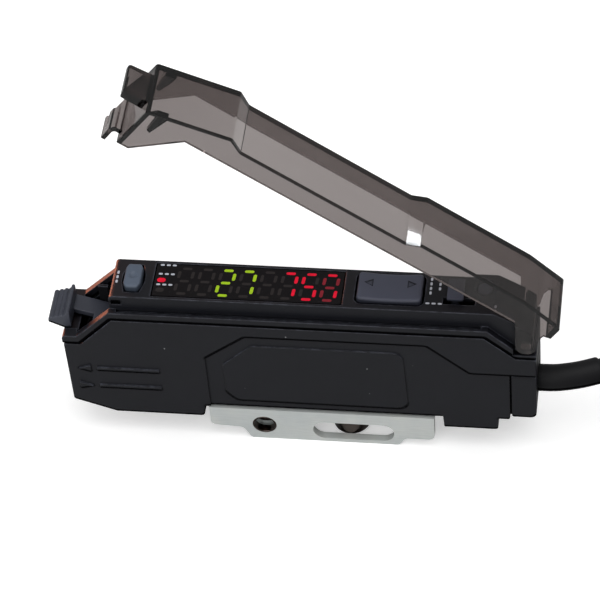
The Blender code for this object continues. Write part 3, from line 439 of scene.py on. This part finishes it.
# Indicator lamps and printed marks. Two small oval diffusers at the left of the display, the upper one lit
# red, and rows of plain pale dashes, screen printed beside the lamps and the keys.
LAMPS = {"lit": [(-21.37, -0.04)], "dark": [(-21.34, -2.03)]}
print_ink, tree, shader, place = new_material("pale_screen_print")
ink_grain = add(tree, "ShaderNodeTexNoise", {"Scale": 4000.0, "Detail": 2.0}, {"Vector": place})
ink_tint = add(tree, "ShaderNodeMixRGB", {"Color1": linear("a9adb8"), "Color2": linear("c3c7d0")},
               {"Fac": ink_grain.outputs["Fac"]})
tree.links.new(ink_tint.outputs["Color"], shader.inputs["Base Color"])
shader.inputs["Roughness"].default_value = 0.45
for kind, spots in LAMPS.items():
    finish = FINISHES["red"] if kind == "lit" else FINISHES["unlit"]
    points = [(x, y, lens_top / MM) for x, y in spots]
    lamps = grown("lamps_" + kind, points, {"turn": [0.0] * len(points)}, bars,
                  {"Bar length": 1.3 * MM, "Bar width": 0.85 * MM, "Bar height": 0.014 * MM, "Slant": 0.0,
                   "Finish": finish})
    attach(lamps, "base")
DASH_PITCH = 0.92
# Each row: its middle, the count of dashes, and whether it runs across the deck
ROWS = [((-28.14, 0.2), 3, True), ((-20.69, 3.02), 3, False), ((-20.72, 1.2), 3, False),
        ((-20.79, -0.95), 3, False), ((20.06, -2.2), 3, False), ((19.4, 1.25), 4, True),
        ((20.75, 1.7), 3, True), ((29.3, -2.3), 2, True)]
points, turns = [], []
for (x, y), count, across in ROWS:
    for index in range(count):
        shift = DASH_PITCH * (index - (count - 1) / 2)
        points.append((x, y + shift, lens_top / MM) if across else (x + shift, y, lens_top / MM))
        turns.append(math.pi / 2 if across else 0.0)
dashes = grown("printed_dashes", points, {"turn": turns}, bars,
               {"Bar length": 0.62 * MM, "Bar width": 0.34 * MM, "Bar height": 0.01 * MM, "Slant": 0.0,
                "Finish": print_ink})
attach(dashes, "base")
output_glow = glowing("lamp_chip", "d8242c", "b01c24", 0.3)
dress(["output_lamp", "preset_lamp"], output_glow)

# Keys. Set key, rocker, slide knob and reset button, moulded in grey ABS with a fine satin texture, each
# over a steel-capped switch. The set key is a bluer and lighter grey than the others.
# The keys' flanks are painted darker, as shade in their openings
light_abs = moulded("moulded_blue_grey_abs", "4e5866", "566070", 0.42, 0.1, 0.3, painted_flank_light=0.45)
dark_abs = moulded("moulded_dark_grey_abs", "414452", "494c5a", 0.42, 0.1, 0.3, painted_flank_light=0.3)
dress(["slide_knob", "reset_button"], dark_abs)
dress(["set_switch", "rocker_switch_left", "rocker_switch_right", "reset_switch", "slide_switch"],
      turned_steel)


def key_block(name, middle_y, stations, low, top, soft, dents, material):
    """A moulded key with softened edges and dents cut in its top. Stations are (x, half width) from end to
    end, and top gives the height at an x."""
    under = [(x, middle_y - half, low) for x, half in stations]
    under += [(x, middle_y + half, low) for x, half in reversed(stations)]
    over = [(x, y, top(x)) for x, y, _ in under]
    count, last = len(under), len(stations) - 1
    faces = [tuple(range(count))[::-1]]
    faces += [(index, (index + 1) % count, count + (index + 1) % count, count + index)
              for index in range(count)]
    faces += [(count + index, count + index + 1, 2 * count - 2 - index, 2 * count - 1 - index)
              for index in range(last)]
    mesh = bpy.data.meshes.new(name)
    mesh.from_pydata([Vector(point) * MM for point in under + over], [], faces)
    mesh.materials.append(material)
    source = bpy.data.objects.new(name + "_source", mesh)
    bpy.context.scene.collection.objects.link(source)
    bevel = source.modifiers.new("softened", "BEVEL")
    bevel.width = soft * MM
    bevel.segments = 6
    bevel.angle_limit = math.radians(25)
    for dent in dents:
        cutter = bpy.data.objects.new(dent.name, dent)
        bpy.context.scene.collection.objects.link(cutter)
        cutter.hide_render = True
        sunk = source.modifiers.new(dent.name, "BOOLEAN")
        sunk.object = cutter
        sunk.material_mode = "TRANSFER"
    evaluated = source.evaluated_get(bpy.context.evaluated_depsgraph_get())
    plain = bpy.data.meshes.new_from_object(evaluated)
    plain.name = name
    plain.shade_smooth()
    plain.set_sharp_from_angle(angle=SHARP_FROM)
    for dent in dents:
        bpy.data.objects.remove(bpy.data.objects[dent.name], do_unlink=True)
    bpy.data.objects.remove(source, do_unlink=True)
    piece = bpy.data.objects.new(name, plain)
    bpy.context.scene.collection.objects.link(piece)
    return piece


def ball(name, middle, radius, material):
    """A sphere's mesh, for a round dent."""
    shape = bmesh.new()
    bmesh.ops.create_uvsphere(shape, u_segments=48, v_segments=64, radius=radius * MM)
    bmesh.ops.translate(shape, vec=Vector(middle) * MM, verts=shape.verts)
    mesh = bpy.data.meshes.new(name)
    shape.to_mesh(mesh)
    shape.free()
    mesh.materials.append(material)
    return mesh


def arrow(name, tip, foot, y, half, top, rise, material):
    """A flat arrow head that follows a key's top and stands the rise above it, from its foot line to its
    tip."""
    corners = [(tip, y), (foot, y - half), (foot, y + half)]
    if tip > foot:
        corners.reverse()
    mesh = bpy.data.meshes.new(name)
    mesh.from_pydata([Vector((x, y, top(x) + z)) * MM for z in (-0.05, rise) for x, y in corners], [],
                     [(2, 1, 0), (3, 4, 5), (0, 1, 4, 3), (1, 2, 5, 4), (2, 0, 3, 5)])
    mesh.materials.append(material)
    piece = bpy.data.objects.new(name, mesh)
    bpy.context.scene.collection.objects.link(piece)
    return piece


KEY_TOP = 31.38
SET_X = -25.6
DENT_RADIUS, DENT_DEPTH = 1.15, 0.24
set_stations = [(SET_X - 1.38, 1.35), (SET_X - 0.95, 2.42), (SET_X + 0.95, 2.42), (SET_X + 1.38, 1.35)]
set_dent = ball("set_dent", (SET_X, 0.0, KEY_TOP + DENT_RADIUS - DENT_DEPTH), DENT_RADIUS, light_abs)
set_key = key_block("set_key", -0.05, set_stations, 29.0, lambda x: KEY_TOP, 0.38, [set_dent], light_abs)
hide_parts("set_button")
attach(set_key, "set_key")
ROCKER_X, ROCKER_HALF, ROCKER_HALF_WIDTH, ROCKER_HOLLOW = 13.35, 4.93, 2.83, 0.32
MARK_Y, MARK_FOOT, MARK_TIP = 0.85, 2.6, 3.95
rocker_stations = [(ROCKER_X + ROCKER_HALF * (step / 8 - 1), ROCKER_HALF_WIDTH) for step in range(17)]


def rocker_top(x):
    """The height of the rocker's hollow top at an x."""
    return KEY_TOP - ROCKER_HOLLOW * (1 - ((x - ROCKER_X) / ROCKER_HALF) ** 2)


rocker = key_block("rocker_key", 0.25, rocker_stations, 29.3, rocker_top, 0.8, [], dark_abs)
painted_mark_shade = moulded("painted_mark_shade", "14141a", "18181f", 0.5, 0.1, 0.1)
# A smaller arrow in the key's own colour lies on a dark one, whose rim left showing is painted shade for a
# sunk mark
for side, way in (("left", -1), ("right", 1)):
    tip, foot = ROCKER_X + way * MARK_TIP, ROCKER_X + way * MARK_FOOT
    shade_side = arrow("rocker_mark_" + side, tip, foot, MARK_Y, 0.74, rocker_top, 0.008, painted_mark_shade)
    face = arrow("rocker_mark_face_" + side, tip - way * 0.36, foot + way * 0.1, MARK_Y - 0.1, 0.5,
                 rocker_top, 0.014, dark_abs)
    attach(shade_side, "rocker")
    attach(face, "rocker")
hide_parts("rocker_button")
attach(rocker, "rocker")

# Lock lever and fibre clamp. Both are moulded in grey acetal, smooth from use on the ribs. The lever
# turns on a steel pin and locks the clamp over the fibres.
acetal = moulded("moulded_grey_acetal", "363943", "3f414a", 0.38, 0.1, 0.35)
dress(["lock_lever", "fibre_clamp"], acetal)
dress(["lever_pin"], turned_steel)

# Cover. One piece of smoked polycarbonate, moulded clear and polished, on a blackened steel pin: a
# channel with thin side walls, two steps, a finger tab and a latch lip. The eye sees the white ground
# through one or two smoky walls, and dark lines where light turns along an edge.
COVER_OPEN = math.radians(37.3)


def smoky(name, tint, pale_tint):
    """Clear plastic with a smoke pigment: a tint at each face it is seen through, and a darker look with
    depth."""
    material, tree, shader, place = new_material(name)
    shader.inputs["Transmission Weight"].default_value = 1.0
    shader.inputs["IOR"].default_value = 1.585
    wave = add(tree, "ShaderNodeTexNoise", {"Scale": 90.0, "Detail": 1.0}, {"Vector": place})
    tints = add(tree, "ShaderNodeMixRGB", {"Color1": linear(tint), "Color2": linear(pale_tint)},
                {"Fac": wave.outputs["Fac"]})
    tree.links.new(tints.outputs["Color"], shader.inputs["Base Color"])
    handling = add(tree, "ShaderNodeTexNoise", {"Scale": 700.0, "Detail": 4.0}, {"Vector": place})
    handled = add(tree, "ShaderNodeMapRange", {"From Min": 0.4, "To Min": 0.01, "To Max": 0.06},
                  {"Value": handling.outputs["Fac"]})
    tree.links.new(handled.outputs["Result"], shader.inputs["Roughness"])
    rays = add(tree, "ShaderNodeLightPath")
    passing = add(tree, "ShaderNodeBsdfTransparent", {"Color": linear("b9b2af")})
    lamp_light = add(tree, "ShaderNodeMixShader", None,
                     {"Fac": rays.outputs["Is Shadow Ray"], 1: shader.outputs["BSDF"],
                      2: passing.outputs["BSDF"]})
    out = tree.nodes["Material Output"]
    tree.links.new(lamp_light.outputs["Shader"], out.inputs["Surface"])
    # The pigment darkens with the length of plastic in the line of sight, so thick places and edges are
    # darker
    pigment = add(tree, "ShaderNodeVolumeAbsorption", {"Color": linear("a89e9d"), "Density": 1650.0})
    tree.links.new(pigment.outputs["Volume"], out.inputs["Volume"])
    return material


dress(["cover"], smoky("smoked_polycarbonate", "e0dad8", "e5e0de"))
dress(["hinge_pin"], blackened)
# The snap ribs inside the two front corners are seen along their length, and their faces get a darker
# tint, painted shade for the darker look that this gives. These are their places with the cover shut
RIB_X, RIB_Y, RIB_Z = (-34.6, -32.3), (3.3, 4.1), (25.8, 30.0)
cover = nodes["cover"].data
cover.materials.append(smoky("smoked_polycarbonate_rib", "8f8583", "978d8a"))
low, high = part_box("hinge_pin")
hinge = (Vector(low) + Vector(high)) / 2
shut = Matrix.Rotation(-COVER_OPEN, 3, "Y")
for face in cover.polygons:
    x, y, z = (shut @ (face.center - hinge) + hinge) / MM
    if RIB_X[0] < x < RIB_X[1] and RIB_Y[0] < abs(y) < RIB_Y[1] and RIB_Z[0] < z < RIB_Z[1]:
        face.material_index = 1

# Cable. A 2 m four-core lead with a black PVC sheath, 3.5 mm thick, moulded into a smooth boot at the
# rear cap. What the view doesn't take in is wound into a flat hank in line with the amplifier, three turns
# wide and five high, and its end lies in the middle of the hank.
CABLE = 3.5
pvc = moulded("extruded_black_pvc", "141416", "19191b", 0.5, 0.3, 0.14)


def flowing(knots, steps):
    """Points of a smooth curve through the knots, with that many steps between two knots."""
    knots = [Vector(knot) for knot in knots]
    ends = [2 * knots[0] - knots[1], *knots, 2 * knots[-1] - knots[-2]]
    points = []
    for before, start, end, after in zip(ends, ends[1:], ends[2:], ends[3:]):
        for step in range(steps):
            t = step / steps
            points.append(0.5 * (2 * start + (end - before) * t
                                 + (2 * before - 5 * start + 4 * end - after) * t ** 2
                                 + (3 * start - before - 3 * end + after) * t ** 3))
    points.append(knots[-1])
    return points


# The hank's left end, middle line and straight run, and each turn's place in it: distance from the middle
# line and height. The outer column is wound down, the middle one up and the inner one down.
HANK_LEFT, HANK_Y, HANK_RUN = 50.0, -9.7, 32.6
OUTER, MIDDLE, INNER = 17.5, 14.0, 10.5
HEIGHTS = [CABLE * (layer + 0.5) for layer in range(5)]
TURNS = ([(OUTER, height) for height in HEIGHTS[3::-1]] + [(MIDDLE, height) for height in HEIGHTS]
         + [(INNER, height) for height in HEIGHTS[::-1]])
# Where on its loop each turn crosses to the next place, one after another so that no two meet. A loop is
# four parts long: far run, right bend, near run and left bend.
CROSSINGS = (3.42, 3.17, 2.92, 2.58, 2.30, 2.05, 1.82, 1.5, 0.86, 0.62, 0.40, 0.2, 0.45)
CROSSING_LENGTH = 20.0
left_centre = HANK_LEFT + OUTER + CABLE / 2


def round_the_hank(travel):
    """The cable's place after travelling that many parts of a loop from the start of the far run."""
    passed = 0.0
    for turn, crossing in enumerate(CROSSINGS):
        width = CROSSING_LENGTH / (HANK_RUN if int(crossing) % 2 == 0 else math.pi * MIDDLE)
        share = min(max((travel - 4 * turn - crossing + width / 2) / width, 0.0), 1.0)
        passed += share * share * (3 - 2 * share)
    turn = min(int(passed + 1e-9), len(TURNS) - 2)
    radius, height = Vector(TURNS[turn]).lerp(Vector(TURNS[turn + 1]), passed - turn)
    part, along = int(travel) % 4, travel - int(travel)
    if part % 2 == 0:
        side = 1 if part == 0 else -1
        start = left_centre if part == 0 else left_centre + HANK_RUN
        return Vector((start + side * HANK_RUN * along, HANK_Y + side * radius, height))
    angle = math.pi * ((0.5 if part == 1 else -0.5) - along)
    centre = left_centre + HANK_RUN if part == 1 else left_centre
    return Vector((centre + radius * math.cos(angle), HANK_Y + radius * math.sin(angle), height))


EXIT = (44.7, 2.1, 12.2)
FREE_RUN = [EXIT, (48.2, 3.6, 12.05), (51.4, 4.95, 11.9), (54.4, 6.1, 11.95), (58.5, 7.2, 12.15),
            (63.5, 7.75, 12.25)]
LAST_TRAVEL, WOUND_STEPS = 4 * len(CROSSINGS) - 0.1, 560
wound = [round_the_hank(LAST_TRAVEL * index / WOUND_STEPS) for index in range(WOUND_STEPS + 1)]
TAIL_RUN = [(left_centre + x, HANK_Y + y, CABLE / 2)
            for x, y in ((4.0, 10.1), (9.0, 8.7), (14.0, 7.0), (17.5, 5.85), (20.0, 5.0))]
cable_path = flowing(FREE_RUN + [wound[0]], 4)[:-1] + wound[:-1] + flowing([wound[-1]] + TAIL_RUN, 4)
cable = round_bar("cable_run", cable_path, CABLE, pvc)
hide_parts("cable", "cable_coil", "cable_tail")
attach(cable, "base")
dress(["coil_tie"], pvc)
BOOT = 4.2
in_cap = [(32.0, 0, 12.2), (32.05, 0, 12.2), (33.0, 0, 12.2), (33.02, 0, 12.2)]
boot_run = flowing([(33.7, 0, 12.2), (36.2, 0, 12.2), (38.5, 0.15, 12.2), (41.6, 0.9, 12.2),
                    (44.45, 1.98, 12.2)], 8)
boot_run += [boot_run[-1] + Vector((0.2, 0.085, 0))]
boot_swell = [1.3, 1.36, 1.36, 1.0] + [1.0] * (len(boot_run) - 1) + [0.93]
boot = round_bar("boot", in_cap + boot_run, BOOT, pvc, 8, boot_swell)
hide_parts("cable_boot")
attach(boot, "base")
LEAD_FINISHES = {
    "lead_brown": moulded("extruded_brown_pvc", "5a3420", "63391f", 0.45, 0.3, 0.4),
    "lead_blue": moulded("extruded_blue_pvc", "1f4c99", "2453a2", 0.45, 0.3, 0.4),
    "lead_black": moulded("extruded_black_core_pvc", "17171a", "1d1d20", 0.45, 0.3, 0.4),
    "lead_white": moulded("extruded_white_pvc", "d8d8d4", "e0e0dc", 0.45, 0.3, 0.4),
}
for name, finish in LEAD_FINISHES.items():
    dress([name], finish)

# Table, light and camera. A pale, even ground under plain soft light. A warm lamp low on the left gives
# the faces turned to it a red-brown edge, and a small cool one gives the cover's step its bright patch.
mesh = bpy.data.meshes.new("ground")
mesh.from_pydata([(-4, -4, 0), (4, -4, 0), (4, 4, 0), (-4, 4, 0)], [], [(0, 1, 2, 3)])
ground = bpy.data.objects.new("ground", mesh)
bpy.context.scene.collection.objects.link(ground)
paper, tree, shader, place = new_material("white_paper_ground")
fibre = add(tree, "ShaderNodeTexNoise", {"Scale": 300.0, "Detail": 3.0}, {"Vector": place})
paper_tint = add(tree, "ShaderNodeMixRGB", {"Color1": linear("f6f6f6"), "Color2": linear("fbfbfb")},
                 {"Fac": fibre.outputs["Fac"]})
shader.inputs["Roughness"].default_value = 0.9
shader.inputs["Specular IOR Level"].default_value = 0.0
rays = add(tree, "ShaderNodeLightPath")
seen = add(tree, "ShaderNodeMath", {"operation": "MAXIMUM"},
           {0: rays.outputs["Is Camera Ray"], 1: rays.outputs["Is Transmission Ray"]})
# Mirrored rays see a darker ground, and a darker world below, so that black faces stay black over white
mirrored = add(tree, "ShaderNodeMixRGB", {"Color2": linear("b0b0b0")},
               {"Fac": rays.outputs["Is Glossy Ray"], "Color1": paper_tint.outputs["Color"]})
tree.links.new(mirrored.outputs["Color"], shader.inputs["Base Color"])
lift = add(tree, "ShaderNodeMath", {"operation": "MULTIPLY", 1: 0.3}, {0: seen.outputs["Value"]})
shader.inputs["Emission Color"].default_value = (1, 1, 1, 1)
tree.links.new(lift.outputs["Value"], shader.inputs["Emission Strength"])
mesh.materials.append(paper)

world = bpy.data.worlds.new("studio")
world.use_nodes = True
bpy.context.scene.world = world
tree = world.node_tree
background = tree.nodes["Background"]
rays = add(tree, "ShaderNodeLightPath")
seen = add(tree, "ShaderNodeMath", {"operation": "MAXIMUM"},
           {0: rays.outputs["Is Camera Ray"], 1: rays.outputs["Is Transmission Ray"]})
level = add(tree, "ShaderNodeMapRange", {"To Min": 0.55, "To Max": 1.0}, {"Value": seen.outputs["Value"]})
mirrored = add(tree, "ShaderNodeMath", {"operation": "MULTIPLY_ADD", 1: -0.23},
               {0: rays.outputs["Is Glossy Ray"], 2: level.outputs["Result"]})
tree.links.new(mirrored.outputs["Value"], background.inputs["Strength"])
background.inputs["Color"].default_value = (1, 1, 1, 1)

AIM = Vector((0, 0, 0.02))
# Each lamp's place and size in metres, its power in watts and its colour
LAMP_PLACES = {
    "soft_top": ((0.15, -0.1, 0.9), (0.8, 0.8), 4.0, (1, 1, 1)),
    "soft_front": ((-0.3, -0.9, 0.6), (0.8, 0.8), 3.8, (1, 1, 1)),
    "glint": ((0.0695, 0.2661, 0.336), (0.012, 0.0035), 0.002, (0.94, 0.97, 1)),
    "warm_left": ((-0.19, 0.13, 0.03), (0.12, 0.12), 0.7, (1.0, 0.3, 0.16)),
}
for name, (where, size, power, colour) in LAMP_PLACES.items():
    lamp = bpy.data.lights.new(name, "AREA")
    lamp.shape = "RECTANGLE"
    lamp.size, lamp.size_y = size
    lamp.energy = power
    lamp.color = colour
    holder = bpy.data.objects.new(name, lamp)
    holder.location = where
    holder.rotation_euler = (AIM - Vector(where)).to_track_quat("-Z", "Y").to_euler()
    bpy.context.scene.collection.objects.link(holder)
    if name == "warm_left":
        # Only the black case shows the warm lamp
        reddened = bpy.data.collections.new("reddened")
        for node in ("case_upper", "case_lower", "fibre_seat"):
            reddened.objects.link(nodes[node])
        holder.light_linking.receiver_collection = reddened
        holder.visible_diffuse = False

# The camera is fitted to the outline of the case, the bracket and the deck
camera = bpy.data.cameras.new("camera")
camera.lens = 180
camera.sensor_width = 36
camera.clip_start = 0.01
viewpoint = bpy.data.objects.new("camera", camera)
viewpoint.location = Vector((57.674, -297.110, 363.576)) * MM
viewpoint.rotation_euler = [math.radians(angle) for angle in (41.87, 3.709, 6.943)]
bpy.context.scene.collection.objects.link(viewpoint)
bpy.context.scene.camera = viewpoint
bpy.context.scene.view_settings.view_transform = "Standard"
